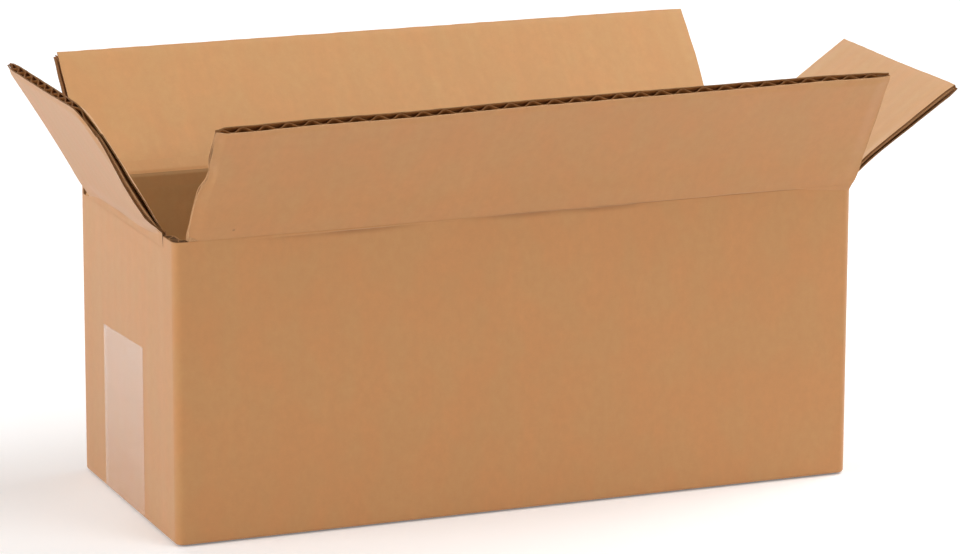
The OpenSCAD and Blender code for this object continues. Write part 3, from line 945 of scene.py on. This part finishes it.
def bottom_tape():
    """A strip carried along the underside, round both bottom folds and up the end walls. Each end is cut at
    a slight slant and with fine teeth, by moving points up the wall by a share that grows from the fold."""
    radius = FOLD_R + TAPE_THICK
    x_mid = OUTER_L / 2 - FOLD_R
    turn = np.linspace(0, math.pi / 2, 9)[1:-1]
    climb = np.linspace(TAPE_UP, radius, 25)
    left_wall = np.stack([np.full(25, -x_mid - radius), climb], -1)
    left_turn = np.stack([-x_mid - radius * np.cos(turn), radius - radius * np.sin(turn)], -1)
    under = np.stack([np.linspace(-x_mid, x_mid, 60), np.zeros(60)], -1)
    path = np.concatenate([left_wall, left_turn, under])
    mirror = np.concatenate([left_wall, left_turn])[::-1] * (-1, 1)
    path = np.concatenate([path, mirror])
    way = np.gradient(path, axis=0)
    way /= np.linalg.norm(way, axis=1)[:, None]
    inwards = np.stack([-way[:, 1], way[:, 0]], -1)
    travelled = np.concatenate([[0], np.cumsum(np.linalg.norm(np.diff(path, axis=0), axis=1))])
    across = np.linspace(-TAPE_WIDTH / 2, TAPE_WIDTH / 2, 47)
    a_grid, s_grid = np.meshgrid(across, travelled)
    inner = path + 0.9 * TAPE_THICK * inwards
    y_grid = TAPE_SHIFT + a_grid
    cut = TAPE_SLANT * across - TOOTH * (np.arange(len(across)) % 2)
    up_wall = np.clip((path[:, 1:] - 2 * radius) / (TAPE_UP - 2 * radius), 0, 1) * cut
    outer_grid = np.stack([path[:, :1] + 0 * a_grid, y_grid, path[:, 1:] + up_wall], -1)
    inner_grid = np.stack([inner[:, :1] + 0 * a_grid, y_grid, inner[:, 1:] + up_wall], -1)
    strip = shell(outer_grid, inner_grid, a_grid, s_grid, TAPE_THICK, (0, 0, 0))
    return piece("bottom_tape_film", [strip], [film])


# The room

def room():
    """A pale floor, a white surround and soft lamps all round."""
    world = bpy.data.worlds.new("soft_white")
    bpy.context.scene.world = world
    world.use_nodes = True
    tree = world.node_tree
    tree.nodes.clear()
    link = tree.links.new
    path = add_node(tree, "ShaderNodeLightPath").outputs
    through = math_step(tree, "MAXIMUM", path["Is Glossy Ray"], path["Is Transmission Ray"])
    mix = add_node(tree, "ShaderNodeMixShader")
    link(math_step(tree, "MAXIMUM", path["Is Camera Ray"], through), mix.inputs["Fac"])
    for socket, strength in ((mix.inputs[1], FILL_LIGHT), (mix.inputs[2], 1.0)):
        white = add_node(tree, "ShaderNodeBackground", {"Color": (1, 1, 1, 1), "Strength": strength})
        link(white.outputs["Background"], socket)
    out = add_node(tree, "ShaderNodeOutputWorld")
    link(mix.outputs["Shader"], out.inputs["Surface"])

    mesh = bpy.data.meshes.new("floor")
    corners = ((-1, -1), (1, -1), (1, 1), (-1, 1))
    mesh.from_pydata([(x * FLOOR_HALF, y * FLOOR_HALF, FLOOR_Z) for x, y in corners], [], [(0, 1, 2, 3)])
    floor = added("floor", mesh)
    material, floor_tree, shader = new_material("pale_floor")
    set_plain(shader, {"Base Color": (0.94, 0.94, 0.94, 1), "Roughness": 0.9, "Specular IOR Level": 0.1,
                       "Emission Color": (1, 1, 1, 1)})
    seen = add_node(floor_tree, "ShaderNodeLightPath").outputs["Is Camera Ray"]
    lift = math_step(floor_tree, "MULTIPLY", seen, FLOOR_LIFT)
    floor_tree.links.new(lift, shader.inputs["Emission Strength"])
    mesh.materials.append(material)

    for name, (place, size, watts) in LAMPS.items():
        data = bpy.data.lights.new(name, "AREA")
        data.shape = "DISK"
        data.size = size
        data.energy = watts
        lamp = added(name, data)
        lamp.location = place
        way = np.array(LAMP_AIM) - np.array(place)
        flat = math.hypot(way[0], way[1])
        lamp.rotation_euler = (math.pi / 2 + math.atan2(way[2], flat), 0, math.atan2(-way[0], way[1]))


def camera():
    """Turned as the fit of the corners says, looking at the middle of the photograph's frame."""
    data = bpy.data.cameras.new("camera")
    data.sensor_width = SENSOR
    data.lens = FOCAL_PIXELS / IMAGE_WIDTH * SENSOR
    data.clip_start = 0.05
    data.clip_end = 20
    obj = added("camera", data)
    azimuth, elevation, roll = (math.radians(a) for a in (CAMERA_AZIMUTH, CAMERA_ELEVATION, CAMERA_ROLL))
    level = np.array([math.cos(azimuth), math.sin(azimuth), 0.0])
    away = np.array([math.sin(azimuth), -math.cos(azimuth), 0.0])
    back = math.cos(elevation) * away + math.sin(elevation) * np.array([0, 0, 1])
    above = np.cross(back, level)
    right = math.cos(roll) * level + math.sin(roll) * above
    top = math.cos(roll) * above - math.sin(roll) * level
    obj.location = np.array(CAMERA_TARGET) + CAMERA_DISTANCE * back
    obj.rotation_euler = Matrix(np.stack([right, top, back], -1).tolist()).to_euler()
    bpy.context.scene.camera = obj


camera()
room()
bpy.context.scene.view_settings.view_transform = "Standard"

for part in [carton_walls(), glue_tab()] + bottom_flaps():
    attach(part, "box")
    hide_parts("carton")

for flap in sorted(LEAN):
    board = top_flap(flap)
    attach(board, flap)
    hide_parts(flap)
    crease_fold(flap)
crushed_end()

tape = bottom_tape()
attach(tape, "box")
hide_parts("bottom_tape")
